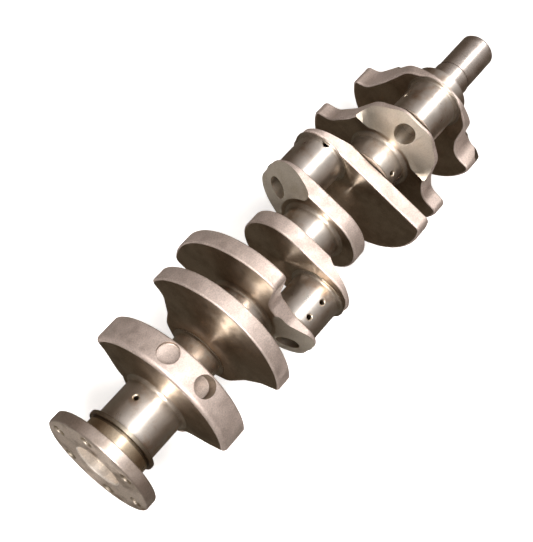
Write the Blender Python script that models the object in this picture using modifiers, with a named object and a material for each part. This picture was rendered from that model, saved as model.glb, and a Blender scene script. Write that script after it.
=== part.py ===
"""Forged crankshaft of a 90-degree V8 engine, modelled section by section.

The shaft lies along X, flywheel end at -X and nose end at +X, with the origin on the axis of
rotation at the middle of the centre main journal.  Crankpin 1 points up (+Z), pin 2 to +Y, pin 3 to
-Y and pin 4 down.  Webs count from 1 at the nose to 8 at the flywheel, and all but the two beside
the centre journal carry a counterweight.
"""
import math

import bmesh
import bpy
from mathutils import Matrix, Vector

MM = 0.001
GAP = 0.3 * MM                 # joint left between neighbouring sections

# Driving dimensions -------------------------------------------------------------------------
THROW = 44.2 * MM              # half the stroke
PIN_RADIUS = 26.65 * MM
PIN_LENGTH = 47.9 * MM         # room for two connecting rods
MAIN_RADIUS = 31.1 * MM
MAIN_LENGTH = 29.2 * MM
WEB_THICKNESS = 17.3 * MM
REAR_WEB_THICKNESS = 29.0 * MM
REAR_MAIN_LENGTH = 44.5 * MM
FRONT_WEB_THICKNESS = 26.0 * MM
FRONT_MAIN_LENGTH = 20.5 * MM
END_RIM_RADIUS = 79.2 * MM     # counterweights of the two end throws
INNER_RIM_RADIUS = 82.6 * MM   # counterweights 2, 3 and 6

FLANGE_RADIUS = 57.2 * MM
FLANGE_THICKNESS = 12.3 * MM
FLANGE_CHAMFER = 2.0 * MM
PILOT_BORE_RADIUS = 23.5 * MM
BOLT_CIRCLE_RADIUS = 45.4 * MM
BOLT_HOLE_RADIUS = 5.6 * MM
BOLT_COUNT = 6
SEAL_RADIUS = 33.0 * MM
SEAL_LENGTH = 17.2 * MM
BUSHING_BORE_RADIUS = 13.0 * MM
SLINGER_RADIUS = 36.3 * MM
SLINGER_WIDTH = 4.0 * MM

GEAR_SEAT_RADIUS = 20.2 * MM
GEAR_SEAT_LENGTH = 24.0 * MM
DAMPER_SEAT_RADIUS = 19.4 * MM
DAMPER_SEAT_LENGTH = 52.0 * MM
NOSE_CHAMFER = 3.0 * MM
NOSE_BORE_RADIUS = 5.5 * MM
NOSE_BORE_DEPTH = 40.0 * MM
KEY_WIDTH = 4.8 * MM
KEY_DEPTH = 3.0 * MM
KEY_ANGLE = -100.0             # degrees from +Y towards +Z

LIGHTENING_RADIUS = 11.0 * MM
LIGHTENING_HEIGHT = 54.0 * MM  # from the shaft's axis to the hole's axis
LIGHTENING_DEPTH = 30.0 * MM   # into the crankpin

NOSE_HEIGHT = 71.5 * MM        # from the shaft's axis to the end of a web's nose
BEVEL_RADIUS = 39.5 * MM       # of the turned cone on the nose, at the face beside the main
BEVEL_LIP = 4.5 * MM           # edge left unbevelled beside the crankpin
BEVEL_FLOOR = 23.0 * MM        # height above the shaft's axis where the cone stops
END_BEVEL_FLOOR = 4.0 * MM    # the same on the two thick end webs
BALANCE_RADIUS = 10.5 * MM
BALANCE_HOLES = ((72.0, 3.0 * MM), (103.0, 14.0 * MM))   # angle in degrees, depth

ROUND_STEPS = 48
CONE_STEPS = 96
ARC_STEP = math.radians(7.5)
EAR_ROUNDING = 6.0 * MM

PIN_ANGLES = {1: 90.0, 2: 0.0, 3: 180.0, 4: -90.0}      # degrees from +Y towards +Z

STEEL = (0.44, 0.39, 0.35, 1.0)
FORGED_STEEL = (0.36, 0.31, 0.27, 1.0)


# Scene, collections and materials ------------------------------------------------------------
def clear_scene():
    for item in list(bpy.data.objects):
        bpy.data.objects.remove(item, do_unlink=True)


def new_collection(name):
    collection = bpy.data.collections.new(name)
    bpy.context.scene.collection.children.link(collection)
    return collection


def steel_material(name, colour, roughness):
    material = bpy.data.materials.new(name)
    material.use_nodes = True
    shader = material.node_tree.nodes["Principled BSDF"]
    shader.inputs["Base Color"].default_value = colour
    shader.inputs["Metallic"].default_value = 1.0
    shader.inputs["Roughness"].default_value = roughness
    return material


def add_part(name, mesh, matrix, colour, roughness):
    part = bpy.data.objects.new(name, mesh)
    part.matrix_world = matrix
    part.data.materials.append(steel_material(name + "_steel", colour, roughness))
    PARTS.objects.link(part)
    return part


def add_cutter(name, mesh, matrix):
    cutter = bpy.data.objects.new(name, mesh)
    cutter.matrix_world = matrix
    cutter.hide_render = True
    cutter.display_type = "WIRE"
    CUTTERS.objects.link(cutter)
    return cutter


def boolean(part, cutter, operation="DIFFERENCE"):
    modifier = part.modifiers.new(operation.title() + " " + cutter.name, "BOOLEAN")
    modifier.operation = operation
    modifier.solver = "EXACT"
    modifier.object = cutter


# Placing things along and around the shaft ---------------------------------------------------
def throw_matrix(x, pin):
    """Local X across the throw, local Y out to the crankpin, local Z along the shaft."""
    angle = math.radians(PIN_ANGLES[pin])
    out = Vector((0.0, math.cos(angle), math.sin(angle)))
    across = Vector((0.0, math.sin(angle), -math.cos(angle)))
    along = Vector((1.0, 0.0, 0.0))
    rotation = Matrix((across, out, along)).transposed().to_4x4()
    return Matrix.Translation((x, 0.0, 0.0)) @ rotation


def shaft_matrix(x):
    return throw_matrix(x, 1)


def facing_rear(matrix):
    """The same place, with local Z turned to point to the flywheel end."""
    return matrix @ Matrix.Rotation(math.pi, 4, "Y")


# Turned shapes ---------------------------------------------------------------------------------
def profile_mesh(name, points, closed=False):
    """A profile of (radius, height) points, top to bottom on its outer side."""
    mesh = bpy.data.meshes.new(name)
    vertices = [(radius, 0.0, height) for radius, height in points]
    edges = [(i, i + 1) for i in range(len(points) - 1)]
    if closed:
        edges.append((len(points) - 1, 0))
    mesh.from_pydata(vertices, edges, [])
    return mesh


def screw(item, steps=ROUND_STEPS):
    modifier = item.modifiers.new("Turn", "SCREW")
    modifier.axis = "Z"
    modifier.angle = 2.0 * math.pi
    modifier.steps = steps
    modifier.render_steps = steps
    modifier.use_merge_vertices = True
    modifier.merge_threshold = 0.00001
    modifier.use_smooth_shade = True
    return item


def turned_part(name, points, matrix, colour=STEEL, roughness=0.25, closed=False):
    return screw(add_part(name, profile_mesh(name, points, closed), matrix, colour, roughness))


def bar(radius, length):
    """Profile of a plain solid cylinder from height 0 to length."""
    return [(0.0, length), (radius, length), (radius, 0.0), (0.0, 0.0)]


def drill(name, radius, matrix, depth, overshoot=5.0 * MM):
    """A cylinder that runs from overshoot below the local origin up to depth."""
    cutter = add_cutter(name, profile_mesh(name, bar(radius, depth + overshoot)),
                        matrix @ Matrix.Translation((0.0, 0.0, -overshoot)))
    return screw(cutter, 32)


# Web outlines, as (across, out) in a throw's own axes ------------------------------------------
def rim_points(radius, start, end):
    """Points on a counterweight's rim between two angles in degrees, ends left out."""
    count = max(2, round(math.radians(end - start) / ARC_STEP))
    angles = [math.radians(start + (end - start) * i / count) for i in range(1, count)]
    return [(radius * math.cos(a), radius * math.sin(a), 0.0) for a in angles]


def ear(radius, angle):
    """The tip where a flank meets the rim, with the radius that rounds it."""
    a = math.radians(angle)
    return (radius * math.cos(a), radius * math.sin(a), EAR_ROUNDING)


def mm_corners(*corners):
    return [(u * MM, v * MM, radius * MM) for u, v, radius in corners]


def fillet(before, corner, after, radius):
    """Points of an arc that rounds one corner of a polygon."""
    if radius <= 0.0:
        return [tuple(corner)]
    a = (before - corner).normalized()
    b = (after - corner).normalized()
    half = math.acos(max(-1.0, min(1.0, a.dot(b)))) / 2.0
    setback = min(radius / math.tan(half), 0.49 * (before - corner).length,
                  0.49 * (after - corner).length)
    radius = setback * math.tan(half)
    centre = corner + (a + b).normalized() * (radius / math.sin(half))
    first = corner + a * setback - centre
    turn = math.pi - 2.0 * half
    if first.cross(corner + b * setback - centre) < 0.0:
        turn = -turn
    count = max(1, round(abs(turn) / (2.0 * ARC_STEP)))
    points = []
    for i in range(count + 1):
        angle = turn * i / count
        points.append((centre.x + first.x * math.cos(angle) - first.y * math.sin(angle),
                       centre.y + first.x * math.sin(angle) + first.y * math.cos(angle)))
    return points


def rounded(corners):
    """Anticlockwise outline through corners given as (across, out, radius)."""
    places = [Vector((u, v)) for u, v, _ in corners]
    outline = []
    for i, (_, _, radius) in enumerate(corners):
        outline += fillet(places[i - 1], places[i], places[(i + 1) % len(places)], radius)
    return outline


def fan(radius, first_ear, last_ear, nose):
    """A counterweight: nose corners above, rim below between two ear angles in degrees."""
    return rounded([ear(radius, first_ear)] + nose + [ear(radius, last_ear)]
                   + rim_points(radius, last_ear, first_ear + 360.0))


NOSE = mm_corners((41, 49, 26), (16, 71.5, 22), (-20, 71.5, 20), (-42, 49, 26))


def front_web_outline():
    """Web 1: ears that hang low."""
    return fan(END_RIM_RADIUS, -20.0, 178.5, mm_corners((60, -20, 16), (50, 10, 26)) + NOSE
               + mm_corners((-47, 20, 26), (-57, 3, 16)))


def second_web_outline():
    return fan(INNER_RIM_RADIUS, -13.5, 179.5, mm_corners((64, -13, 16), (51, 14, 26)) + NOSE
               + mm_corners((-50, 20, 26), (-60, 3, 16)))


def seventh_web_outline():
    return fan(END_RIM_RADIUS, -20.0, 186.0, mm_corners((60, -10, 16), (49, 14, 26)) + NOSE
               + mm_corners((-48, 26, 26), (-62, -1, 16)))


def rear_web_outline():
    """Web 8: narrow beside the journal."""
    return fan(END_RIM_RADIUS, -21.0, 186.5, mm_corners((62, -14, 16), (38, 8, 22)) + NOSE
               + mm_corners((-37, 23, 22), (-66, -2, 16)))


def middle_throw_outline():
    """Webs 3 and 6: flat along one side, the fan swung round to the other."""
    flat = -29.5 * MM
    flat_angle = 180.0 + math.degrees(math.acos(-flat / INNER_RIM_RADIUS))
    return fan(INNER_RIM_RADIUS, 5.0, flat_angle,
               mm_corners((45, 15, 14), (33, 40, 18), (32, 73.5, 21), (-29.5, 73.5, 21)))


def plain_web_outline():
    """Webs 4 and 5: no counterweight, only a cheek round pin and journal."""
    return rounded(mm_corners((42, 74, 30), (-42, 74, 30), (-42, -51, 41), (42, -51, 41)))


def flat_plate(name, outline, thickness):
    """A closed mesh of the outline, from height 0 to thickness."""
    curve = bpy.data.curves.new(name + "_outline", "CURVE")
    curve.dimensions = "2D"
    curve.fill_mode = "BOTH"
    curve.extrude = thickness / 2.0
    spline = curve.splines.new("POLY")
    spline.points.add(len(outline) - 1)
    for point, (u, v) in zip(spline.points, outline):
        point.co = (u, v, 0.0, 1.0)
    spline.use_cyclic_u = True
    drawing = bpy.data.objects.new(name + "_outline", curve)
    bpy.context.scene.collection.objects.link(drawing)
    graph = bpy.context.evaluated_depsgraph_get()
    mesh = bpy.data.meshes.new_from_object(drawing.evaluated_get(graph))
    bpy.data.objects.remove(drawing, do_unlink=True)
    form = bmesh.new()
    form.from_mesh(mesh)
    bmesh.ops.remove_doubles(form, verts=form.verts, dist=0.00001)
    bmesh.ops.translate(form, verts=form.verts, vec=(0.0, 0.0, thickness / 2.0))
    bmesh.ops.recalc_face_normals(form, faces=form.faces)
    form.to_mesh(mesh)
    form.free()
    mesh.shade_smooth()
    mesh.set_sharp_from_angle(angle=math.radians(30.0))
    return mesh


# Webs and crankpins -----------------------------------------------------------------------------
def box_mesh(name, low, high):
    mesh = bpy.data.meshes.new(name)
    form = bmesh.new()
    bmesh.ops.create_cube(form, size=1.0)
    bmesh.ops.scale(form, verts=form.verts, vec=Vector(high) - Vector(low))
    bmesh.ops.translate(form, verts=form.verts, vec=(Vector(high) + Vector(low)) / 2.0)
    form.to_mesh(mesh)
    form.free()
    return mesh


def nose_bevel(name, matrix, thickness, floor):
    """Cutter for a nose: a cone turned about the shaft's axis, kept to the crankpin's side.

    The cone starts at the local origin's plane and opens along local Z.
    """
    slope = (NOSE_HEIGHT - BEVEL_RADIUS) / (thickness - BEVEL_LIP)
    before = 3.0 * MM
    outside = BEVEL_RADIUS + slope * thickness + 10.0 * MM
    points = [(outside, -before), (BEVEL_RADIUS - slope * before, -before),
              (BEVEL_RADIUS + slope * thickness, thickness), (outside, thickness)]
    cutter = add_cutter(name, profile_mesh(name, points, closed=True), matrix)
    screw(cutter, CONE_STEPS)
    keeper = box_mesh(name + "_side", (-outside, floor, -2.0 * before),
                      (outside, 2.0 * outside, thickness + before))
    boolean(cutter, add_cutter(name + "_side", keeper, matrix), "INTERSECT")
    return cutter


def crank_web(number, name, outline, x_start, x_end):
    """One web; its nose is bevelled on the side of the main journal."""
    pin = (number + 1) // 2
    thickness = x_end - x_start
    mesh = flat_plate(name, outline, thickness)
    part = add_part(name, mesh, throw_matrix(x_start, pin), FORGED_STEEL, 0.4)
    if number % 2 == 0:
        journal_side = throw_matrix(x_start, pin)
    else:
        journal_side = facing_rear(throw_matrix(x_end, pin))
    floor = END_BEVEL_FLOOR if number in (1, 8) else BEVEL_FLOOR
    boolean(part, nose_bevel(name + "_bevel", journal_side, thickness, floor))
    return part


def crankpin(number, x_start, x_end):
    place = throw_matrix(x_start, number) @ Matrix.Translation((0.0, THROW, 0.0))
    name = "crankpin_%d" % number
    return turned_part(name, bar(PIN_RADIUS, x_end - x_start), place, roughness=0.18)


def lightening_hole(web, pin_part, pin, x_start, x_pin):
    """The hole drilled from a throw's rear web into its crankpin."""
    place = throw_matrix(x_start, pin) @ Matrix.Translation((0.0, LIGHTENING_HEIGHT, 0.0))
    depth = x_pin - x_start + LIGHTENING_DEPTH
    cutter = drill("lightening_hole_%d" % pin, LIGHTENING_RADIUS, place, depth)
    boolean(web, cutter)
    boolean(pin_part, cutter)


def balance_hole(web, index, angle, depth, x):
    """A radial hole in a counterweight's rim."""
    a = math.radians(angle)
    outward = Vector((0.0, math.cos(a), math.sin(a)))
    rim = Vector((x, 0.0, 0.0)) + outward * END_RIM_RADIUS
    turn = Vector((0.0, 0.0, 1.0)).rotation_difference(-outward).to_matrix().to_4x4()
    boolean(web, drill("balance_hole_%d" % index, BALANCE_RADIUS,
                       Matrix.Translation(rim) @ turn, depth))


# Ends of the shaft ------------------------------------------------------------------------------
def flywheel_flange(x_start, x_end):
    length = x_end - x_start
    outer = FLANGE_RADIUS - FLANGE_CHAMFER
    points = [(PILOT_BORE_RADIUS, length), (outer, length), (FLANGE_RADIUS, length - FLANGE_CHAMFER),
              (FLANGE_RADIUS, FLANGE_CHAMFER), (outer, 0.0), (PILOT_BORE_RADIUS, 0.0)]
    flange = turned_part("flywheel_flange", points, shaft_matrix(x_start), closed=True)
    for i in range(BOLT_COUNT):
        angle = 2.0 * math.pi * (i + 0.5) / BOLT_COUNT
        place = shaft_matrix(x_start) @ Matrix.Translation(
            (BOLT_CIRCLE_RADIUS * math.cos(angle), BOLT_CIRCLE_RADIUS * math.sin(angle), 0.0))
        boolean(flange, drill("bolt_hole_%d" % (i + 1), BOLT_HOLE_RADIUS, place, length + 5.0 * MM))
    return flange


def keyway(part, name, x_start, length, radius):
    """A slot milled along the nose for a key."""
    half = Vector((length / 2.0, KEY_WIDTH / 2.0, KEY_DEPTH))
    mesh = box_mesh(name, -half, half)
    a = math.radians(KEY_ANGLE)
    outward = Vector((0.0, math.cos(a), math.sin(a)))
    place = Matrix.Translation(Vector((x_start + length / 2.0, 0.0, 0.0)) + outward * radius)
    turn = Matrix.Rotation(a - math.pi / 2.0, 4, "X")
    boolean(part, add_cutter(name, mesh, place @ turn))


# Assembly ---------------------------------------------------------------------------------------
def section_ends():
    """Where each section of the shaft starts and ends along X, with the joints taken off."""
    lengths = [("flange", FLANGE_THICKNESS), ("seal", SEAL_LENGTH), ("slinger", SLINGER_WIDTH),
               ("main_5", REAR_MAIN_LENGTH), ("web_8", REAR_WEB_THICKNESS)]
    for pin in (4, 3, 2):
        lengths += [("pin_%d" % pin, PIN_LENGTH), ("web_%d" % (2 * pin - 1), WEB_THICKNESS),
                    ("main_%d" % pin, MAIN_LENGTH), ("web_%d" % (2 * pin - 2), WEB_THICKNESS)]
    lengths += [("pin_1", PIN_LENGTH), ("web_1", FRONT_WEB_THICKNESS),
                ("main_1", FRONT_MAIN_LENGTH), ("gear_seat", GEAR_SEAT_LENGTH),
                ("damper_seat", DAMPER_SEAT_LENGTH)]
    ends = {}
    x = 0.0
    for name, length in lengths:
        ends[name] = (x, x + length)
        x += length
    middle = sum(ends["main_3"]) / 2.0
    return {name: (start - middle + GAP / 2.0, end - middle - GAP / 2.0)
            for name, (start, end) in ends.items()}


def build_crankshaft():
    ends = section_ends()

    start, end = ends["flange"]
    flywheel_flange(start, end)
    start, end = ends["seal"]
    turned_part("rear_seal_land",
                [(BUSHING_BORE_RADIUS, end - start), (SEAL_RADIUS, end - start),
                 (SEAL_RADIUS, 0.0), (BUSHING_BORE_RADIUS, 0.0)],
                shaft_matrix(start), closed=True)
    start, end = ends["slinger"]
    turned_part("oil_slinger", bar(SLINGER_RADIUS, end - start), shaft_matrix(start))

    for number in (1, 2, 3, 4, 5):
        start, end = ends["main_%d" % number]
        turned_part("main_journal_%d" % number, bar(MAIN_RADIUS, end - start),
                    shaft_matrix(start), roughness=0.18)

    pins = {}
    for number in (1, 2, 3, 4):
        start, end = ends["pin_%d" % number]
        pins[number] = crankpin(number, start, end)

    outlines = {1: front_web_outline, 2: second_web_outline, 3: middle_throw_outline,
                4: plain_web_outline, 5: plain_web_outline, 6: middle_throw_outline,
                7: seventh_web_outline, 8: rear_web_outline}
    webs = {}
    for number, outline in outlines.items():
        kind = "web_%d" if outline is plain_web_outline else "counterweight_%d"
        start, end = ends["web_%d" % number]
        webs[number] = crank_web(number, kind % number, outline(), start, end)
    for pin in (1, 2, 3, 4):
        rear_web = 2 * pin
        lightening_hole(webs[rear_web], pins[pin], pin, ends["web_%d" % rear_web][0],
                        ends["pin_%d" % pin][0])
    start, end = ends["web_8"]
    for index, (angle, depth) in enumerate(BALANCE_HOLES, 1):
        balance_hole(webs[8], index, angle, depth, start + 0.567 * (end - start))

    start, end = ends["gear_seat"]
    gear_seat = turned_part("timing_gear_seat", bar(GEAR_SEAT_RADIUS, end - start),
                            shaft_matrix(start))
    keyway(gear_seat, "gear_keyway", start + 4.0 * MM, 15.0 * MM, GEAR_SEAT_RADIUS)
    start, end = ends["damper_seat"]
    length = end - start
    tip = DAMPER_SEAT_RADIUS - NOSE_CHAMFER
    damper_seat = turned_part(
        "damper_seat",
        [(0.0, length - NOSE_BORE_DEPTH), (NOSE_BORE_RADIUS, length - NOSE_BORE_DEPTH + 3.0 * MM),
         (NOSE_BORE_RADIUS, length), (tip, length), (DAMPER_SEAT_RADIUS, length - NOSE_CHAMFER),
         (DAMPER_SEAT_RADIUS, 0.0), (0.0, 0.0)], shaft_matrix(start))
    keyway(damper_seat, "damper_keyway", start + 6.0 * MM, 22.0 * MM, DAMPER_SEAT_RADIUS)


clear_scene()
PARTS = new_collection("crankshaft")
CUTTERS = new_collection("cutters")
build_crankshaft()
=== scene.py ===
"""Looks of the forged V8 crankshaft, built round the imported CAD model.

Every section of the shaft is made again as a finely turned or forged surface, in metres and in the
CAD model's own frame: X runs along the axis of rotation from the flywheel flange to the nose.
Lengths along the shaft come from the CAD nodes, so nothing is moved or resized.
"""
import math

import bmesh
import bpy
from mathutils import Matrix, Vector


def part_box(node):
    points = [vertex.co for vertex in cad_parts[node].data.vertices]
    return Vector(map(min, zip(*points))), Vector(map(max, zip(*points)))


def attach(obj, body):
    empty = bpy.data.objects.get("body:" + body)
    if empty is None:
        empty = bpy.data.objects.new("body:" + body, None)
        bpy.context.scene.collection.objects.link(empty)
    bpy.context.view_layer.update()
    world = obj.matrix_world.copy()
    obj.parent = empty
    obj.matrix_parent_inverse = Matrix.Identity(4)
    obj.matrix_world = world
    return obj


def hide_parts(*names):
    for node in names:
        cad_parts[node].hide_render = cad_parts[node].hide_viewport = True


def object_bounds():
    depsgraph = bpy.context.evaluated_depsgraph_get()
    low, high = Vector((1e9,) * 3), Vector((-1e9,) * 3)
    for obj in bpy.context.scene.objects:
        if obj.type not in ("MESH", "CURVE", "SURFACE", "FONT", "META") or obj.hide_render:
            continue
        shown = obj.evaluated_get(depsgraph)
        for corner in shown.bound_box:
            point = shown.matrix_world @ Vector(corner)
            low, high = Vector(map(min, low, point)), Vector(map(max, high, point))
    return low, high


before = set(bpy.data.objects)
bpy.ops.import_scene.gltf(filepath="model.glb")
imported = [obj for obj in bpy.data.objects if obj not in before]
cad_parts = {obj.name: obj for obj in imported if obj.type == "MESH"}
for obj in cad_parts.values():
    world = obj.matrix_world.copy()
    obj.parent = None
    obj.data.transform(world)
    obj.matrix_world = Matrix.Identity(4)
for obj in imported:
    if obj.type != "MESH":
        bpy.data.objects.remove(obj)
cad_low, cad_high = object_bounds()

MM = 0.001
JOINT = 0.15 * MM              # half of the gap that the CAD model leaves between sections
OVERLAP = 0.4 * MM             # how far a journal reaches into the web beside it

# Driving dimensions, the same as the CAD model's ------------------------------------------------
THROW = 44.2 * MM
PIN_RADIUS = 26.65 * MM
MAIN_RADIUS = 31.1 * MM
END_RIM_RADIUS = 79.2 * MM
INNER_RIM_RADIUS = 82.6 * MM
FLANGE_RADIUS = 57.2 * MM
PILOT_BORE_RADIUS = 23.5 * MM
BOLT_CIRCLE_RADIUS = 45.4 * MM
BOLT_HOLE_RADIUS = 5.6 * MM
BOLT_COUNT = 6
SEAL_RADIUS = 33.0 * MM
BUSHING_BORE_RADIUS = 13.0 * MM
SLINGER_RADIUS = 36.3 * MM
GEAR_SEAT_RADIUS = 20.2 * MM
DAMPER_SEAT_RADIUS = 19.4 * MM
NOSE_CHAMFER = 3.0 * MM
NOSE_BORE_RADIUS = 5.5 * MM
NOSE_BORE_DEPTH = 40.0 * MM
KEY_WIDTH = 4.8 * MM
KEY_DEPTH = 3.0 * MM
KEY_ANGLE = -100.0             # degrees from +Y towards +Z
LIGHTENING_RADIUS = 11.0 * MM
LIGHTENING_HEIGHT = 54.0 * MM  # from the shaft's axis to the hole's axis
LIGHTENING_DEPTH = 30.0 * MM   # into the crankpin
NOSE_HEIGHT = 71.5 * MM        # of a throw's rounded end, from the shaft's axis
BEVEL_RADIUS = 39.5 * MM       # where the nose's cone meets the web's main side
BEVEL_LIP = 4.5 * MM           # what the cone leaves of the nose's thickness
BALANCE_RADIUS = 10.5 * MM
BALANCE_HOLES = ((72.0, 3.0 * MM), (103.0, 14.0 * MM))   # degrees round the shaft, depth
BALANCE_STATION = 0.567        # of the web's thickness, from its rear side
PIN_ANGLES = {1: 90.0, 2: 0.0, 3: 180.0, 4: -90.0}         # degrees from +Y towards +Z

# Detail that only the visible surface has ---------------------------------------------------------
COLLAR_RISE = 4.2 * MM         # thrust collar beside a journal, above the journal
COLLAR_WIDTH = 0.9 * MM
JOURNAL_FILLET = 2.5 * MM
MAIN_FILLET = 4.0 * MM
EAR_ROUNDING = 7.0 * MM
EAR_SPAN = 9.0                 # degrees of the rim that an ear's rounding may use
OIL_HOLE_RADIUS = 2.3 * MM
OIL_HOLE_MOUTH = 4.2 * MM      # radius of the countersink at the surface
MAIN_OIL_HOLES = {2: (407.0, 128.0), 5: (61.0, 57.0)}      # mm from the flange's face, degrees
PIN_OIL_HOLES = {1: ((466.0, 20.0),), 2: ((377.0, 80.0),), 3: ((230.5, 105.0), (250.6, 105.0)),
                 4: ((132.0, 60.0),)}
SOFT_EDGE = 0.9 * MM
SOFT_EDGE_ANGLE = math.radians(38.0)
SHARP_ANGLE = math.radians(32.0)
ROUND_STEPS = 144
ARC_STEP = math.radians(2.5)
WELD = 0.002 * MM              # points that a cut leaves closer than this become one
SLIVER_SIDES = 6               # a hole of at most so many edges that a cut leaves is filled


# Materials ------------------------------------------------------------------------------------------
PAINTED_SHADE_BROWN = (0.10, 0.075, 0.05)    # painted shade that corners and recesses get through an ambient-occlusion mask
STAIN_SCALE = 38.0
STAIN_SOFTNESS = 0.22
SPECKLE_SCALE = 700.0
WEAR_SCALE = 90.0
CORNER_REACH = 12.0 * MM       # how far the painted shade reaches out of a corner
GRAIN_DEPTH = 0.12 * MM
MARK_DEPTH = 0.06 * MM
MARK_STRETCH = 0.015           # a tool mark's width against its length


class Nodes:
    """Adds nodes to one material and links them by value."""

    def __init__(self, material):
        material.use_nodes = True
        self.tree = material.node_tree
        self.shader = self.tree.nodes["Principled BSDF"]

    def add(self, kind, inputs=(), **settings):
        node = self.tree.nodes.new(kind)
        for key, value in settings.items():
            setattr(node, key, value)
        for key, value in dict(inputs).items():
            self.feed(node.inputs[key], value)
        return node

    def feed(self, socket, value):
        if isinstance(value, bpy.types.NodeSocket):
            self.tree.links.new(value, socket)
        else:
            socket.default_value = value

    def math(self, operation, first, second=0.0):
        node = self.add("ShaderNodeMath", {0: first, 1: second}, operation=operation)
        return node.outputs[0]

    def noise(self, vector, scale, detail=2.0, roughness=0.5):
        node = self.add("ShaderNodeTexNoise", {"Vector": vector, "Scale": scale, "Detail": detail,
                                               "Roughness": roughness})
        return node.outputs["Fac"]

    def spread(self, value, low_in, high_in, low_out, high_out):
        node = self.add("ShaderNodeMapRange", {0: value, 1: low_in, 2: high_in, 3: low_out,
                                               4: high_out})
        return node.outputs[0]

    def mix(self, factor, first, second):
        node = self.add("ShaderNodeMix", data_type="RGBA")
        self.feed(node.inputs[0], factor)
        self.feed(node.inputs[6], first)
        self.feed(node.inputs[7], second)
        return node.outputs[2]


def marks_vector(nodes, place, lay):
    """Coordinates that stretch a noise into tool marks: round the shaft, or in rings on a face."""
    x, y, z = nodes.add("ShaderNodeSeparateXYZ", {0: place}).outputs
    along = x
    if lay == "faced":
        square = nodes.math("ADD", nodes.math("MULTIPLY", y, y), nodes.math("MULTIPLY", z, z))
        along = nodes.math("SQRT", square)
    stretched = nodes.add("ShaderNodeCombineXYZ", {
        0: along, 1: nodes.math("MULTIPLY", y, MARK_STRETCH),
        2: nodes.math("MULTIPLY", z, MARK_STRETCH)})
    return stretched.outputs[0]


def stains_and_painted_shade(nodes, place, colour, stain, stain_start, painted_shade, speckle):
    """The base colour with stains, painted shade in the corners (from an ambient-occlusion mask) and a fine
    speckle.
    """
    stains = nodes.spread(nodes.noise(place, STAIN_SCALE, 7.0, 0.62), stain_start,
                          stain_start + STAIN_SOFTNESS, 0.0, 1.0)
    base = nodes.mix(stains, (*colour, 1.0), (*stain, 1.0))
    # Painted shade: where the ambient-occlusion mask finds corners and recesses, the colour turns to the
    # painted_shade colour
    corners = nodes.add("ShaderNodeAmbientOcclusion", {"Distance": CORNER_REACH}, samples=6)
    shade_mask = nodes.spread(corners.outputs["AO"], 0.25, 0.8, 1.0, 0.0)
    base = nodes.mix(shade_mask, base, (*painted_shade, 1.0))
    grains = nodes.spread(nodes.noise(place, SPECKLE_SCALE, 3.0, 0.75), 0.3, 0.7, 1.0 - speckle,
                          1.0 + speckle)
    return nodes.add("ShaderNodeVectorMath", {0: base, 3: grains}, operation="SCALE").outputs[0]


def surface_height(nodes, place, lay):
    """The relief of a surface and its depth in metres: forged grain, or a tool's marks."""
    if lay == "cast":
        coarse = nodes.math("MULTIPLY", nodes.noise(place, 240.0, 2.0, 0.5), 0.4)
        return nodes.math("ADD", nodes.noise(place, 1000.0, 3.0, 0.6), coarse), GRAIN_DEPTH
    vector = marks_vector(nodes, place, lay)
    height = nodes.math("ADD", nodes.noise(vector, 1700.0, 2.0, 0.6),
                        nodes.noise(vector, 420.0, 2.0, 0.5))
    return height, MARK_DEPTH


def across_the_marks(nodes, place, lay):
    """The direction across the tool's marks: out from the shaft on a face, else along the shaft."""
    direction = (1.0, 0.0, 0.0)
    if lay == "faced":
        flat = nodes.add("ShaderNodeVectorMath", {0: place, 1: (0.0, 1.0, 1.0)},
                         operation="MULTIPLY")
        direction = flat.outputs[0]
    unit = nodes.add("ShaderNodeVectorMath", {0: direction}, operation="NORMALIZE")
    return unit.outputs[0]


def steel(name, colour, stain, roughness, painted_shade=PAINTED_SHADE_BROWN, lay="turned", anisotropy=0.0, marks=0.25,
          stain_start=0.5, speckle=0.12, metallic=1.0):
    """Machined or forged steel. The lay is cast, turned (round the shaft) or faced (in rings)."""
    material = bpy.data.materials.new(name)
    nodes = Nodes(material)
    shader = nodes.shader
    shader.inputs["Metallic"].default_value = metallic
    place = nodes.add("ShaderNodeTexCoord").outputs["Object"]
    nodes.feed(shader.inputs["Base Color"],
               stains_and_painted_shade(nodes, place, colour, stain, stain_start, painted_shade, speckle))
    worn = nodes.noise(place, WEAR_SCALE, 5.0, 0.6)
    nodes.feed(shader.inputs["Roughness"],
               nodes.spread(worn, 0.3, 0.7, roughness * 0.8, roughness * 1.25))
    height, distance = surface_height(nodes, place, lay)
    bump = nodes.add("ShaderNodeBump", {"Strength": marks, "Distance": distance,
                                        "Height": height})
    nodes.feed(shader.inputs["Normal"], bump.outputs[0])
    if anisotropy:
        shader.inputs["Anisotropic"].default_value = anisotropy
        nodes.feed(shader.inputs["Tangent"], across_the_marks(nodes, place, lay))
    return material


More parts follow.
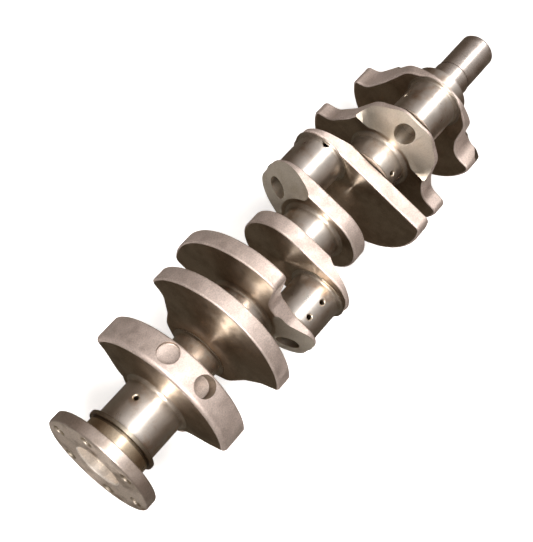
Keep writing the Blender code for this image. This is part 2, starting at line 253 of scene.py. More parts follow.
FINISHES = {
    "journal": steel("polished_journal", (0.82, 0.775, 0.73), (0.56, 0.40, 0.28), 0.33,
                     anisotropy=0.3, marks=0.12, speckle=0.06),
    "collar": steel("turned_collar", (0.66, 0.60, 0.53), (0.50, 0.42, 0.33), 0.38,
                    anisotropy=0.3, marks=0.15),
    "rim": steel("satin_rim", (0.71, 0.605, 0.555), (0.64, 0.54, 0.485), 0.52, lay="cast",
                 marks=0.5, stain_start=0.48, speckle=0.20, metallic=0.85),
    "side": steel("turned_web_side", (0.64, 0.54, 0.44), (0.46, 0.37, 0.28), 0.42,
                  painted_shade=(0.09, 0.068, 0.045), lay="faced", anisotropy=0.95, marks=0.2,
                  stain_start=0.45),
    "bevel": steel("bevelled_nose", (0.60, 0.54, 0.46), (0.50, 0.43, 0.34), 0.45,
                   anisotropy=0.3, marks=0.3, metallic=0.8),
    # A darker copy of the bevel colour as painted shade, for cones that face away from the lights and for a
    # balance hole's wall
    "painted_shade_bevel": steel("nose_in_painted_shade", (0.36, 0.31, 0.25), (0.27, 0.22, 0.17), 0.45,
                       anisotropy=0.3, marks=0.3),
    "hole": steel("drilled_hole", (0.70, 0.62, 0.52), (0.46, 0.38, 0.28), 0.45,
                  painted_shade=(0.30, 0.24, 0.17), anisotropy=0.3, marks=0.5),
    "flange_face": steel("stained_flange_face", (0.80, 0.69, 0.60), (0.20, 0.12, 0.06), 0.38,
                         painted_shade=(0.14, 0.10, 0.06), lay="faced", anisotropy=0.6, marks=0.4,
                         stain_start=0.46, speckle=0.3, metallic=0.86),
    "flange_rim": steel("turned_flange_rim", (0.74, 0.64, 0.58), (0.52, 0.42, 0.34), 0.34,
                        anisotropy=0.3, speckle=0.14, metallic=0.95),
    "register": steel("turned_register_bore", (0.80, 0.74, 0.68), (0.50, 0.41, 0.32), 0.4,
                      painted_shade=(0.28, 0.22, 0.16), anisotropy=0.2, marks=0.3, stain_start=0.48,
                      speckle=0.2, metallic=0.7),
    "seal": steel("bronzed_seal_land", (0.74, 0.62, 0.47), (0.52, 0.40, 0.27), 0.32,
                  anisotropy=0.3, marks=0.2),
    "slinger": steel("dark_slinger", (0.45, 0.40, 0.33), (0.22, 0.17, 0.12), 0.35,
                     anisotropy=0.3, marks=0.3, stain_start=0.48),
    "snout": steel("speckled_snout", (0.80, 0.74, 0.70), (0.36, 0.28, 0.23), 0.34,
                   anisotropy=0.3, marks=0.2, stain_start=0.54, speckle=0.25),
}


# Placing -----------------------------------------------------------------------------------------
def stations(node):
    """Where a section starts and ends along X, without the CAD model's joints."""
    low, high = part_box(node)
    return low[0] - JOINT, high[0] + JOINT


def outward(angle):
    a = math.radians(angle)
    return Vector((0.0, math.cos(a), math.sin(a)))


def throw_matrix(x, pin):
    """Local X across the throw, local Y out to the crankpin, local Z along the shaft."""
    out = outward(PIN_ANGLES[pin])
    across = outward(PIN_ANGLES[pin] - 90.0)
    rotation = Matrix((across, out, Vector((1.0, 0.0, 0.0)))).transposed().to_4x4()
    return Matrix.Translation((x, 0.0, 0.0)) @ rotation


def pin_axis(pin):
    return outward(PIN_ANGLES[pin]) * THROW


def aim(place, direction):
    """A matrix at place whose local Z points along direction."""
    turn = Vector((0.0, 0.0, 1.0)).rotation_difference(direction)
    return Matrix.Translation(place) @ turn.to_matrix().to_4x4()


ALONG_SHAFT = Matrix(((0.0, 0.0, 1.0), (1.0, 0.0, 0.0), (0.0, 1.0, 0.0))).to_4x4()


def shaft_place(x, offset=Vector()):
    """A matrix whose local Z is the shaft's direction, at x and a sideways offset."""
    return Matrix.Translation(Vector((x, 0.0, 0.0)) + offset) @ ALONG_SHAFT


# Meshes ------------------------------------------------------------------------------------------
def new_object(name, form, finishes, matrix):
    """An object from a bmesh, placed by matrix, with one material slot for each finish."""
    bmesh.ops.recalc_face_normals(form, faces=form.faces)
    mesh = bpy.data.meshes.new(name)
    form.transform(matrix)
    form.to_mesh(mesh)
    form.free()
    for finish in finishes:
        mesh.materials.append(FINISHES[finish])
    item = bpy.data.objects.new(name, mesh)
    bpy.context.scene.collection.objects.link(item)
    return item


def turned(name, profile, finishes, matrix, steps=ROUND_STEPS, closed=False):
    """A lathe shape: profile of (height, radius, finish index), the index for the run that follows."""
    form = bmesh.new()
    rings = []
    turn = [math.tau * i / steps for i in range(steps)]
    for height, radius, _ in profile:
        if radius == 0.0:
            rings.append([form.verts.new((0.0, 0.0, height))])
            continue
        rings.append([form.verts.new((radius * math.cos(a), radius * math.sin(a), height))
                      for a in turn])
    runs = list(zip(rings, rings[1:], profile))
    if closed:
        runs.append((rings[-1], rings[0], profile[-1]))
    for first, second, (_, _, finish) in runs:
        if len(first) == 1 and len(second) == 1:
            continue
        for i in range(steps):
            j = (i + 1) % steps
            corners = [first[i % len(first)], first[j % len(first)],
                       second[j % len(second)], second[i % len(second)]]
            corners = [c for n, c in enumerate(corners) if c not in corners[:n]]
            face = form.faces.new(corners)
            face.material_index = finish
            face.smooth = True
    return new_object(name, form, finishes, matrix)


def arc(height, radius, size, start, end, finish, count=6):
    """Profile points on a round of the given size, angles in degrees from +height to +radius."""
    points = []
    for i in range(count + 1):
        a = math.radians(start + (end - start) * i / count)
        points.append((height + size * math.cos(a), radius + size * math.sin(a), finish))
    return points


def bake_modifiers(piece):
    """Gives the piece the mesh that its modifiers make, and drops them."""
    graph = bpy.context.evaluated_depsgraph_get()
    mesh = bpy.data.meshes.new_from_object(piece.evaluated_get(graph))
    piece.modifiers.clear()
    piece.data = mesh


def cut(piece, cutter):
    """Takes the cutter out of the piece; the new surface keeps the cutter's finish."""
    modifier = piece.modifiers.new("cut", "BOOLEAN")
    modifier.operation = "DIFFERENCE"
    modifier.solver = "EXACT"
    modifier.material_mode = "TRANSFER"
    modifier.object = cutter
    bake_modifiers(piece)
    form = bmesh.new()
    form.from_mesh(piece.data)
    bmesh.ops.remove_doubles(form, verts=form.verts, dist=WELD)
    bmesh.ops.holes_fill(form, edges=form.edges, sides=SLIVER_SIDES)
    form.to_mesh(piece.data)
    form.free()
    bpy.data.objects.remove(cutter, do_unlink=True)


def is_closed(mesh):
    form = bmesh.new()
    form.from_mesh(mesh)
    closed = all(len(edge.link_faces) == 2 for edge in form.edges)
    form.free()
    return closed


def finish_piece(piece, node, soft=False):
    """Softens the edges unless that opens the mesh, shades it, hangs it on the root body and hides the CAD
    node that it stands in for.
    """
    if soft:
        bevel = piece.modifiers.new("soft edges", "BEVEL")
        bevel.width = SOFT_EDGE
        bevel.segments = 3
        bevel.limit_method = "ANGLE"
        bevel.angle_limit = SOFT_EDGE_ANGLE
        bevel.use_clamp_overlap = True
        plain = piece.data.copy()
        bake_modifiers(piece)
        if not is_closed(piece.data):
            piece.data = plain
    piece.data.shade_smooth()
    piece.data.set_sharp_from_angle(angle=SHARP_ANGLE)
    normals = piece.modifiers.new("flat faces stay flat", "WEIGHTED_NORMAL")
    normals.keep_sharp = True
    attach(piece, "root")
    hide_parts(node)


# Journals ------------------------------------------------------------------------------------------
def journal_profile(length, radius, ends):
    """A ground journal; each end is a collar (a thrust collar), a fillet or plain."""
    def end(flip, kind):
        points = [(-OVERLAP, 0.0, 1)]
        if kind == "collar":
            rounding = 0.4 * MM
            points += [(-OVERLAP, radius + COLLAR_RISE, 1)]
            points += arc(COLLAR_WIDTH - rounding, radius + COLLAR_RISE - rounding, rounding,
                          90.0, 0.0, 1, 3)
            points += arc(COLLAR_WIDTH + JOURNAL_FILLET, radius + JOURNAL_FILLET,
                          JOURNAL_FILLET, 180.0, 270.0, 1, 10)
        elif kind == "fillet":
            points += [(-OVERLAP, radius + MAIN_FILLET, 1)]
            points += arc(MAIN_FILLET, radius + MAIN_FILLET, MAIN_FILLET, 180.0, 270.0, 1, 10)
        else:
            points += [(-OVERLAP, radius, 1)]
        if flip:
            points = [(length - height, r, finish) for height, r, finish in reversed(points)]
        return points

    first = end(False, ends[0])
    first[-1] = (first[-1][0], first[-1][1], 0)
    return first + end(True, ends[1])


def drill_oil_hole(piece, x, centre, angle, radius):
    """A countersunk oil hole at the surface of a journal."""
    out = outward(angle)
    depth = 14.0 * MM
    sink = OIL_HOLE_MOUTH - OIL_HOLE_RADIUS
    mouth = radius + 1.0 * MM
    profile = [(radius - depth, 0.0, 0), (radius - depth, OIL_HOLE_RADIUS, 0),
               (radius - sink, OIL_HOLE_RADIUS, 0)]
    profile += arc(radius - sink, OIL_HOLE_MOUTH, sink, 270.0, 360.0, 0, 5)[1:]
    profile += [(mouth, OIL_HOLE_MOUTH + 0.6 * MM, 0), (mouth, 0.0, 0)]
    place = aim(Vector((x, 0.0, 0.0)) + centre, out)
    cut(piece, turned("oil_hole", profile, ["hole"], place, 40))


def make_mains(flange_start):
    """The five main journals, with a fillet wherever one meets a web."""
    for number in (1, 2, 3, 4, 5):
        node = "main_journal_%d" % number
        start, end = stations(node)
        ends = ("plain" if number == 5 else "fillet", "plain" if number == 1 else "fillet")
        piece = turned(node + "_ground", journal_profile(end - start, MAIN_RADIUS, ends),
                       ["journal", "collar"], shaft_place(start))
        if number in MAIN_OIL_HOLES:
            distance, angle = MAIN_OIL_HOLES[number]
            drill_oil_hole(piece, flange_start + distance * MM, Vector(), angle, MAIN_RADIUS)
        finish_piece(piece, node)


def make_pins(flange_start):
    """The four crankpins between their thrust collars, each with its lightening hole."""
    for number in (1, 2, 3, 4):
        node = "crankpin_%d" % number
        start, end = stations(node)
        centre = pin_axis(number)
        profile = journal_profile(end - start, PIN_RADIUS, ("collar", "collar"))
        piece = turned(node + "_ground", profile, ["journal", "collar"],
                       shaft_place(start, centre))
        cut(piece, lightening_cutter(number, start))
        for distance, angle in PIN_OIL_HOLES[number]:
            drill_oil_hole(piece, flange_start + distance * MM, centre, angle, PIN_RADIUS)
        finish_piece(piece, node)


def lightening_cutter(pin, pin_start):
    """The drill that runs from a throw's rear web into its crankpin, with a coned tip."""
    web_start = stations(REAR_WEB_NODES[pin])[0]
    offset = outward(PIN_ANGLES[pin]) * LIGHTENING_HEIGHT
    before = 6.0 * MM
    depth = pin_start + LIGHTENING_DEPTH - web_start
    profile = [(-before, 0.0, 0), (-before, LIGHTENING_RADIUS, 0), (depth, LIGHTENING_RADIUS, 0)]
    profile += arc(depth, LIGHTENING_RADIUS - 2.0 * MM, 2.0 * MM, 90.0, 20.0, 0, 5)
    profile += [(depth + 4.5 * MM, 0.0, 0)]
    return turned("lightening_drill", profile, ["hole"], shaft_place(web_start, offset), 96)


# Webs and counterweights -----------------------------------------------------------------------------
def rim_points(radius, start, end):
    """Corners (across, out, rounding) along the round rim, angles in degrees."""
    count = max(2, round(math.radians(end - start) / ARC_STEP))
    angles = [math.radians(start + (end - start) * i / count) for i in range(count + 1)]
    return [(radius * math.cos(a), radius * math.sin(a), 0.0) for a in angles]


def ear(radius, angle):
    """The rounded corner where the rim ends."""
    a = math.radians(angle)
    return (radius * math.cos(a), radius * math.sin(a), EAR_ROUNDING)


def mm_corners(*corners):
    return [(u * MM, v * MM, radius * MM) for u, v, radius in corners]


def fillet(before, corner, after, radius):
    """Points of an arc that rounds one corner of a polygon."""
    if radius <= 0.0:
        return [tuple(corner)]
    a = (before - corner).normalized()
    b = (after - corner).normalized()
    half = math.acos(max(-1.0, min(1.0, a.dot(b)))) / 2.0
    setback = min(radius / math.tan(half), 0.49 * (before - corner).length,
                  0.49 * (after - corner).length)
    radius = setback * math.tan(half)
    centre = corner + (a + b).normalized() * (radius / math.sin(half))
    first = corner + a * setback - centre
    turn = math.pi - 2.0 * half
    if first.cross(corner + b * setback - centre) < 0.0:
        turn = -turn
    count = max(2, round(abs(turn) / (2.0 * ARC_STEP)))
    points = []
    for i in range(count + 1):
        angle = turn * i / count
        points.append((centre.x + first.x * math.cos(angle) - first.y * math.sin(angle),
                       centre.y + first.x * math.sin(angle) + first.y * math.cos(angle)))
    return points


def rounded(corners):
    """The outline of a polygon whose corners (across, out, rounding) are rounded."""
    places = [Vector((u, v)) for u, v, _ in corners]
    outline = []
    for i, (_, _, radius) in enumerate(corners):
        outline += fillet(places[i - 1], places[i], places[(i + 1) % len(places)], radius)
    return outline


def fan(radius, first_ear, last_ear, nose):
    """A counterweight: nose corners above, rim below between two ear angles in degrees."""
    return rounded([ear(radius, first_ear)] + nose + [ear(radius, last_ear)]
                   + rim_points(radius, last_ear + EAR_SPAN, first_ear + 360.0 - EAR_SPAN))


NOSE = mm_corners((41, 49, 26), (16, 71.5, 22), (-20, 71.5, 20), (-42, 49, 26))
FLAT_SIDE = -29.5 * MM
MIDDLE_OUTLINE = fan(INNER_RIM_RADIUS, 5.0,
                     180.0 + math.degrees(math.acos(-FLAT_SIDE / INNER_RIM_RADIUS)),
                     mm_corners((45, 15, 14), (33, 40, 18), (32, 73.5, 21), (-29.5, 73.5, 21)))
PLAIN_OUTLINE = rounded(mm_corners((42, 74, 30), (-42, 74, 30), (-42, -51, 41), (42, -51, 41)))
OUTLINES = {
    1: fan(END_RIM_RADIUS, -20.0, 178.5, mm_corners((60, -20, 16), (50, 10, 26)) + NOSE
           + mm_corners((-47, 20, 26), (-57, 3, 16))),
    2: fan(INNER_RIM_RADIUS, -13.5, 179.5, mm_corners((64, -13, 16), (51, 14, 26)) + NOSE
           + mm_corners((-50, 20, 26), (-60, 3, 16))),
    3: MIDDLE_OUTLINE,
    4: PLAIN_OUTLINE,
    5: PLAIN_OUTLINE,
    6: MIDDLE_OUTLINE,
    7: fan(END_RIM_RADIUS, -20.0, 186.0, mm_corners((60, -10, 16), (49, 14, 26)) + NOSE
           + mm_corners((-48, 26, 26), (-62, -1, 16))),
    8: fan(END_RIM_RADIUS, -21.0, 186.5, mm_corners((62, -14, 16), (38, 8, 22)) + NOSE
           + mm_corners((-37, 23, 22), (-66, -2, 16))),
}
WEB_NODES = {n: ("web_%d" if n in (4, 5) else "counterweight_%d") % n for n in OUTLINES}
REAR_WEB_NODES = {pin: WEB_NODES[2 * pin] for pin in PIN_ANGLES}
EDGE_ROUNDS = {8: (4.5 * MM, 2.5 * MM)}          # rear and front edge, where not the usual
USUAL_EDGE_ROUNDS = (2.0 * MM, 2.0 * MM)
BEVEL_ENDS = {1: (66.0, 110.0), 8: (66.0, 110.0)}   # degrees from the nose where the cone runs out
USUAL_BEVEL_ENDS = (46.0, 92.0)


def evened(outline, step=2.5 * MM):
    """The outline with long straight runs split, so that offsets and rounds stay smooth."""
    points = []
    for (u0, v0), (u1, v1) in zip(outline, outline[1:] + outline[:1]):
        length = math.hypot(u1 - u0, v1 - v0)
        if length < 0.02 * MM:
            continue
        count = max(1, round(length / step))
        points += [(u0 + (u1 - u0) * i / count, v0 + (v1 - v0) * i / count)
                   for i in range(count)]
    return points


def inset(outline, distance):
    """The outline moved inward, for an anticlockwise outline."""
    moved = []
    count = len(outline)
    for i in range(count):
        before = Vector(outline[i - 1])
        after = Vector(outline[(i + 1) % count])
        along = (after - before).normalized()
        moved.append((outline[i][0] - along.y * distance, outline[i][1] + along.x * distance))
    return moved


def plate(name, outline, thickness, rear_round, front_round, matrix):
    """A forged plate whose two edges are rounded, with a satin rim and turned sides."""
    count = 5
    layers = []
    for i in range(count + 1):
        a = math.radians(90.0 * i / count)
        layers.append((rear_round * (1.0 - math.cos(a)), rear_round * (1.0 - math.sin(a))))
    for i in range(count, -1, -1):
        a = math.radians(90.0 * i / count)
        layers.append((thickness - front_round * (1.0 - math.cos(a)),
                       front_round * (1.0 - math.sin(a))))
    form = bmesh.new()
    rings = [[form.verts.new((u, v, height)) for u, v in inset(outline, distance)]
             for height, distance in layers]
    points = len(outline)
    for lower, upper in zip(rings, rings[1:]):
        for i in range(points):
            j = (i + 1) % points
            face = form.faces.new((lower[i], lower[j], upper[j], upper[i]))
            face.material_index = 0
    form.faces.new(list(reversed(rings[0]))).material_index = 1
    form.faces.new(rings[-1]).material_index = 1
    return new_object(name, form, ["rim", "side"], matrix)


def eased(value):
    """A smooth step from 0 to 1."""
    value = max(0.0, min(1.0, value))
    return value * value * (3.0 - 2.0 * value)


def nose_cutter(matrix, thickness, run_out, finish):
    """A cone turned about the shaft's axis that runs out beside the nose.

    The cone starts at the local origin's plane and opens along local Z.
    """
    slope = (NOSE_HEIGHT - BEVEL_RADIUS) / (thickness - BEVEL_LIP)
    clear = 95.0 * MM
    outside = 160.0 * MM
    wall = 5.0 * MM
    margin = 3.0 * MM
    steps = 240
    turn = 0.37                # of a step, so that no edge of the cone lies on the web's own
    form = bmesh.new()
    rings = []
    for i in range(steps):
        a = math.tau * (i + turn) / steps
        across, out = math.sin(a), math.cos(a)
        away = abs(math.degrees(math.atan2(across, out)))
        gone = eased((away - run_out[0]) / (run_out[1] - run_out[0]))
        ring = []
        for height in (-margin, thickness + margin):
            radius = BEVEL_RADIUS + slope * height
            radius += (clear - radius) * gone
            radius = min(radius, outside - wall)
            ring.append(form.verts.new((across * radius, out * radius, height)))
        for height in (thickness + margin, -margin):
            ring.append(form.verts.new((across * outside, out * outside, height)))
        rings.append(ring)
    for first, second in zip(rings, rings[1:] + rings[:1]):
        for k in range(4):
            form.faces.new((first[k], first[(k + 1) % 4], second[(k + 1) % 4], second[k]))
    return new_object("nose_cutter", form, [finish], matrix)


def balance_cutter(x, angle, depth):
    """A drill that enters the rim from outside and ends in a shallow cone."""
    before = 4.0 * MM
    profile = [(-before, 0.0, 0), (-before, BALANCE_RADIUS, 0), (depth, BALANCE_RADIUS, 1)]
    profile += arc(depth, BALANCE_RADIUS - 1.2 * MM, 1.2 * MM, 90.0, 20.0, 1, 4)[1:]
    profile += [(depth + 3.5 * MM, 0.0, 1)]
    out = outward(angle)
    place = aim(Vector((x, 0.0, 0.0)) + out * END_RIM_RADIUS, -out)
    # The hole's wall takes the darkened nose colour as painted shade, its coned end the rim's colour
    return turned("balance_drill", profile, ["painted_shade_bevel", "rim"], place, 96)


def make_webs():
    """Each web: plate, cone towards its main journal, lightening hole on a throw's rear web."""
    for number, outline in OUTLINES.items():
        node = WEB_NODES[number]
        start, end = stations(node)
        thickness = end - start
        pin = (number + 1) // 2
        rear_round, front_round = EDGE_ROUNDS.get(number, USUAL_EDGE_ROUNDS)
        piece = plate(node + "_forged", evened(outline), thickness, rear_round, front_round,
                      throw_matrix(start, pin))
        rear_web = number % 2 == 0
        if rear_web:
            main_side, finish = throw_matrix(start, pin), "bevel"
        else:
            main_side = throw_matrix(end, pin) @ Matrix.Rotation(math.pi, 4, "Y")
            # A front web's cone faces away from the lights, so its darker colour is painted shade
            finish = "painted_shade_bevel"
        run_out = BEVEL_ENDS.get(number, USUAL_BEVEL_ENDS)
        cut(piece, nose_cutter(main_side, thickness, run_out, finish))
        if rear_web:
            pin_start = stations("crankpin_%d" % pin)[0]
            cut(piece, lightening_cutter(pin, pin_start))
        if number == 8:
            for angle, depth in BALANCE_HOLES:
                cut(piece, balance_cutter(start + BALANCE_STATION * thickness, angle, depth))
        finish_piece(piece, node, soft=True)


# Ends of the shaft -----------------------------------------------------------------------------------
def make_flange():
    """The flange with a chamfered register bore and countersunk bolt holes."""
    start, end = stations("flywheel_flange")
    start += JOINT
    length = end - start
    outer = 1.6 * MM
    lip = 1.0 * MM
    step = 3.0 * MM
    ledge = 2.2 * MM
    profile = [(0.0, PILOT_BORE_RADIUS + lip, 0), (0.0, FLANGE_RADIUS - outer, 1)]
    profile += arc(outer, FLANGE_RADIUS - outer, outer, 180.0, 90.0, 1, 6)[1:]
    profile += arc(length - outer, FLANGE_RADIUS - outer, outer, 90.0, 0.0, 1, 6)
    profile += [(length, PILOT_BORE_RADIUS - ledge, 2),
                (length - step, PILOT_BORE_RADIUS - ledge, 2),
                (length - step, PILOT_BORE_RADIUS, 2), (lip, PILOT_BORE_RADIUS, 2)]
    piece = turned("flywheel_flange_turned", profile, ["flange_face", "flange_rim", "register"],
                   shaft_place(start), closed=True)
    sink = 0.8 * MM
    beyond = length + 3.0 * MM
    for i in range(BOLT_COUNT):
        angle = 90.0 - 360.0 * (i + 0.5) / BOLT_COUNT
        offset = outward(angle) * BOLT_CIRCLE_RADIUS
        hole = [(-sink, 0.0, 0), (-sink, BOLT_HOLE_RADIUS + 2.0 * sink, 0),
                (sink, BOLT_HOLE_RADIUS, 0), (beyond, BOLT_HOLE_RADIUS, 0), (beyond, 0.0, 0)]
        cut(piece, turned("bolt_drill", hole, ["hole"], shaft_place(start, offset), 48))
    finish_piece(piece, "flywheel_flange")


def make_seal_and_slinger():
    """The land for the rear oil seal, with a grinding relief at its end, and the oil slinger."""
    start, end = stations("rear_seal_land")
    length = end - start
    relief = 1.2 * MM
    inner_end = length + OVERLAP
    fillet_size = 2.2 * MM
    profile = [(0.0, BUSHING_BORE_RADIUS, 0), (0.0, SEAL_RADIUS + fillet_size, 0)]
    profile += arc(fillet_size, SEAL_RADIUS + fillet_size, fillet_size, 180.0, 270.0, 0, 8)[1:]
    profile += [(length - 2.4 * MM, SEAL_RADIUS, 0), (length - 2.0 * MM, SEAL_RADIUS - relief, 0),
                (inner_end, SEAL_RADIUS - relief, 0), (inner_end, BUSHING_BORE_RADIUS, 0)]
    finish_piece(turned("rear_seal_land_turned", profile, ["seal"], shaft_place(start),
                        closed=True), "rear_seal_land")

    start, end = stations("oil_slinger")
    length = end - start
    edge = 0.7 * MM
    profile = [(0.0, 0.0, 0), (0.0, SLINGER_RADIUS - edge, 0)]
    profile += arc(edge, SLINGER_RADIUS - edge, edge, 180.0, 90.0, 0, 4)[1:]
    profile += arc(length - edge, SLINGER_RADIUS - edge, edge, 90.0, 0.0, 0, 4)
    profile += [(length, 0.0, 0)]
    finish_piece(turned("oil_slinger_turned", profile, ["slinger"], shaft_place(start)),
                 "oil_slinger")


def key_cutter(x, length, radius):
    """A milled keyway with round ends, cut from outside the nose."""
    half = KEY_WIDTH / 2.0
    outline = []
    for centre, start in ((length - half, -90.0), (half, 90.0)):
        for i in range(9):
            a = math.radians(start + 180.0 * i / 8.0)
            outline.append((centre + half * math.cos(a), half * math.sin(a)))
    form = bmesh.new()
    top = [form.verts.new((u, v, KEY_DEPTH)) for u, v in outline]
    bottom = [form.verts.new((u, v, -KEY_DEPTH)) for u, v in outline]
    form.faces.new(top)
    form.faces.new(list(reversed(bottom)))
    for i in range(len(outline)):
        j = (i + 1) % len(outline)
        form.faces.new((bottom[i], bottom[j], top[j], top[i]))
    out = outward(KEY_ANGLE)
    along = Vector((1.0, 0.0, 0.0))
    turn = Matrix((along, out.cross(along), out)).transposed().to_4x4()
    place = Matrix.Translation(Vector((x, 0.0, 0.0)) + out * radius) @ turn
    return new_object("key_cutter", form, ["hole"], place)


def make_nose():
    """The gear seat, and the damper seat with a relief groove and a threaded bolt bore."""
    start, end = stations("timing_gear_seat")
    length = end - start
    edge = 0.8 * MM
    profile = [(-OVERLAP, 0.0, 0), (-OVERLAP, GEAR_SEAT_RADIUS, 0),
               (length - edge, GEAR_SEAT_RADIUS, 0), (length, GEAR_SEAT_RADIUS - edge, 0),
               (length, 0.0, 0)]
    piece = turned("timing_gear_seat_turned", profile, ["snout"], shaft_place(start))
    cut(piece, key_cutter(start + 4.0 * MM, 15.0 * MM, GEAR_SEAT_RADIUS))
    finish_piece(piece, "timing_gear_seat")

    start, end = stations("damper_seat")
    end -= JOINT
    length = end - start
    bottom = length - NOSE_BORE_DEPTH
    sink = 1.6 * MM
    groove = 0.7 * MM
    profile = [(-OVERLAP, 0.0, 0), (-OVERLAP, DAMPER_SEAT_RADIUS, 0)]
    profile += [(0.6 * MM, DAMPER_SEAT_RADIUS, 0), (0.9 * MM, DAMPER_SEAT_RADIUS - groove, 0),
                (2.2 * MM, DAMPER_SEAT_RADIUS - groove, 0), (2.5 * MM, DAMPER_SEAT_RADIUS, 0)]
    profile += arc(length - NOSE_CHAMFER, DAMPER_SEAT_RADIUS - NOSE_CHAMFER, NOSE_CHAMFER, 90.0,
                   0.0, 0, 8)
    profile += [(length, NOSE_BORE_RADIUS + sink, 1), (length - sink, NOSE_BORE_RADIUS, 1)]
    pitch = 1.6 * MM
    thread_depth = 0.6 * MM
    unthreaded = 8.0 * MM
    for i in range(int((NOSE_BORE_DEPTH - unthreaded) / pitch)):
        height = length - 2.5 * MM - i * pitch
        profile += [(height, NOSE_BORE_RADIUS, 1),
                    (height - pitch / 2.0, NOSE_BORE_RADIUS + thread_depth, 1)]
    profile += [(bottom + 4.0 * MM, NOSE_BORE_RADIUS, 1), (bottom, 0.0, 1)]
    piece = turned("damper_seat_turned", profile, ["snout", "hole"], shaft_place(start))
    cut(piece, key_cutter(start + 6.0 * MM, 22.0 * MM, DAMPER_SEAT_RADIUS))
    finish_piece(piece, "damper_seat")


# Studio ------------------------------------------------------------------------------------------------
CAMERA_TURN = 24.353           # degrees the view is turned from straight down towards the nose
CAMERA_ROLL = -47.475          # degrees the shaft is rolled in the picture
CAMERA_TILT = 2.767            # degrees the view leans across the shaft
CAMERA_OFFSET = (37.915 * MM, -31.914 * MM, 1106.969 * MM)   # of the pivot, seen from the camera
CAMERA_PIVOT = 1.5 * MM        # along the shaft from the origin
CAMERA_LENS = 75.294
FLOOR_GLOW = 0.62
STAGE_RADIUS = 6.0             # of the flat floor, in metres
WALL_BEND = 2.0
WALL_HEIGHT = 6.0
WALL_STEPS = 12
STAGE_STEPS = 96
FLOOR_DROP = 0.5 * MM          # from the shaft's lowest point
LIGHT_COLOUR = (1.0, 0.97, 0.94)
WORLD_TONES = ((0.0, (0.10, 0.085, 0.065)), (0.45, (0.07, 0.048, 0.032)),
               (0.60, (0.13, 0.095, 0.07)), (0.80, (0.33, 0.29, 0.26)),
               (1.0, (0.80, 0.76, 0.73)))        # from straight down to straight up


def make_camera():
    """The photograph's view: tilt, then turn, then roll, about a pivot near the shaft's middle."""
    turn, roll, tilt = (math.radians(a) for a in (CAMERA_TURN, CAMERA_ROLL, CAMERA_TILT))
    turned_view = Matrix(((math.cos(turn), 0.0, -math.sin(turn)), (0.0, 1.0, 0.0),
                          (math.sin(turn), 0.0, math.cos(turn))))
    rolled_view = Matrix(((math.cos(roll), -math.sin(roll), 0.0),
                          (math.sin(roll), math.cos(roll), 0.0), (0.0, 0.0, 1.0)))
    tilted_view = Matrix(((1.0, 0.0, 0.0), (0.0, -math.cos(tilt), math.sin(tilt)),
                          (0.0, -math.sin(tilt), -math.cos(tilt))))
    to_view = rolled_view @ turned_view @ tilted_view
    place = Vector((CAMERA_PIVOT, 0.0, 0.0)) - to_view.transposed() @ Vector(CAMERA_OFFSET)
    rotation = to_view.transposed() @ Matrix.Diagonal((1.0, -1.0, -1.0))
    data = bpy.data.cameras.new("photo_view")
    data.lens = CAMERA_LENS
    data.sensor_width = 36.0
    data.clip_start = 0.05
    data.clip_end = 50.0
    camera = bpy.data.objects.new("photo_view", data)
    camera.matrix_world = Matrix.Translation(place) @ rotation.to_4x4()
    bpy.context.scene.collection.objects.link(camera)
    bpy.context.scene.camera = camera


def pale_material():
    """Matt white that glows a little, so that the floor stays pale under soft lights."""
    material = bpy.data.materials.new("pale_floor")
    nodes = Nodes(material)
    place = nodes.add("ShaderNodeTexCoord").outputs["Object"]
    cloud = nodes.spread(nodes.noise(place, 3.0), 0.3, 0.7, 0.97, 1.0)
    tint = nodes.add("ShaderNodeVectorMath", {0: (0.90, 0.90, 0.89), 3: cloud}, operation="SCALE")
    nodes.feed(nodes.shader.inputs["Base Color"], tint.outputs[0])
    nodes.shader.inputs["Roughness"].default_value = 0.9
    nodes.shader.inputs["Specular IOR Level"].default_value = 0.1
    nodes.shader.inputs["Emission Color"].default_value = (1.0, 1.0, 1.0, 1.0)
    nodes.shader.inputs["Emission Strength"].default_value = FLOOR_GLOW
    return material


def swept_round(name, profile, material):
    """A staged surface: profile points (radius, height above the floor), swept round the origin."""
    form = bmesh.new()
    level = cad_low[2] - FLOOR_DROP
    points = [form.verts.new((radius, 0.0, level + height)) for radius, height in profile]
    edges = [form.edges.new(pair) for pair in zip(points, points[1:])]
    bmesh.ops.spin(form, geom=points + edges, axis=(0.0, 0.0, 1.0), cent=(0.0, 0.0, 0.0),
                   angle=math.tau, steps=STAGE_STEPS, use_merge=True)
    bmesh.ops.remove_doubles(form, verts=form.verts, dist=MM)
    bmesh.ops.recalc_face_normals(form, faces=form.faces)
    mesh = bpy.data.meshes.new(name)
    form.to_mesh(mesh)
    form.free()
    mesh.shade_smooth()
    mesh.materials.append(material)
    stage = bpy.data.objects.new(name, mesh)
    stage.visible_glossy = False
    bpy.context.scene.collection.objects.link(stage)
    return stage


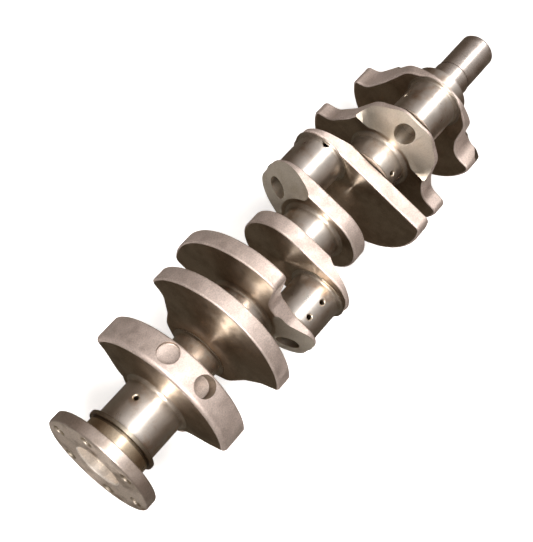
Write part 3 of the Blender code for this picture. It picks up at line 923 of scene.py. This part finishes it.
def make_stage():
    """A pale floor, and far from the shaft a wall that curves up and only the camera sees."""
    material = pale_material()
    swept_round("floor", [(0.0, 0.0), (STAGE_RADIUS, 0.0)], material)
    wall = [(STAGE_RADIUS, 0.0)]
    for i in range(1, WALL_STEPS + 1):
        a = math.radians(90.0 * i / WALL_STEPS)
        wall.append((STAGE_RADIUS + WALL_BEND * math.sin(a), WALL_BEND * (1.0 - math.cos(a))))
    wall.append((STAGE_RADIUS + WALL_BEND, WALL_HEIGHT))
    backdrop = swept_round("backdrop", wall, material)
    backdrop.visible_diffuse = False
    backdrop.visible_shadow = False


def area_light(name, place, size, size_y, power):
    """A soft light that looks at the middle of the shaft."""
    data = bpy.data.lights.new(name, "AREA")
    data.shape = "RECTANGLE"
    data.size = size
    data.size_y = size_y
    data.energy = power
    data.color = LIGHT_COLOUR
    light = bpy.data.objects.new(name, data)
    light.location = place
    light.rotation_euler = (-Vector(place)).to_track_quat("-Z", "Y").to_euler()
    bpy.context.scene.collection.objects.link(light)


def make_lights():
    area_light("overhead_softbox", (0.55, 0.0, 1.35), 0.5, 1.6, 11.0)
    area_light("rear_strip", (-1.05, 0.0, 0.95), 0.2, 0.7, 22.0)


def make_world():
    """Surroundings for the reflections: dark and warm below, brighter towards the top."""
    world = bpy.data.worlds.new("studio")
    bpy.context.scene.world = world
    world.use_nodes = True
    tree = world.node_tree
    direction = tree.nodes.new("ShaderNodeTexCoord").outputs["Generated"]
    split = tree.nodes.new("ShaderNodeSeparateXYZ")
    tree.links.new(direction, split.inputs[0])
    height = tree.nodes.new("ShaderNodeMapRange")
    height.inputs["From Min"].default_value = -1.0
    height.inputs["From Max"].default_value = 1.0
    tree.links.new(split.outputs["Z"], height.inputs["Value"])
    ramp = tree.nodes.new("ShaderNodeValToRGB")
    tree.links.new(height.outputs[0], ramp.inputs[0])
    stops = ramp.color_ramp.elements
    while len(stops) < len(WORLD_TONES):
        stops.new(0.5)
    for stop, (position, colour) in zip(stops, WORLD_TONES):
        stop.position = position
        stop.color = (*colour, 1.0)
    background = tree.nodes["Background"]
    tree.links.new(ramp.outputs[0], background.inputs["Color"])
    background.inputs["Strength"].default_value = 1.0


# Assembly -------------------------------------------------------------------------------------------------
flange_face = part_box("flywheel_flange")[0][0] - JOINT
make_flange()
make_seal_and_slinger()
make_mains(flange_face)
make_pins(flange_face)
make_webs()
make_nose()
make_stage()
make_lights()
make_world()
make_camera()
bpy.context.scene.view_settings.view_transform = "Standard"
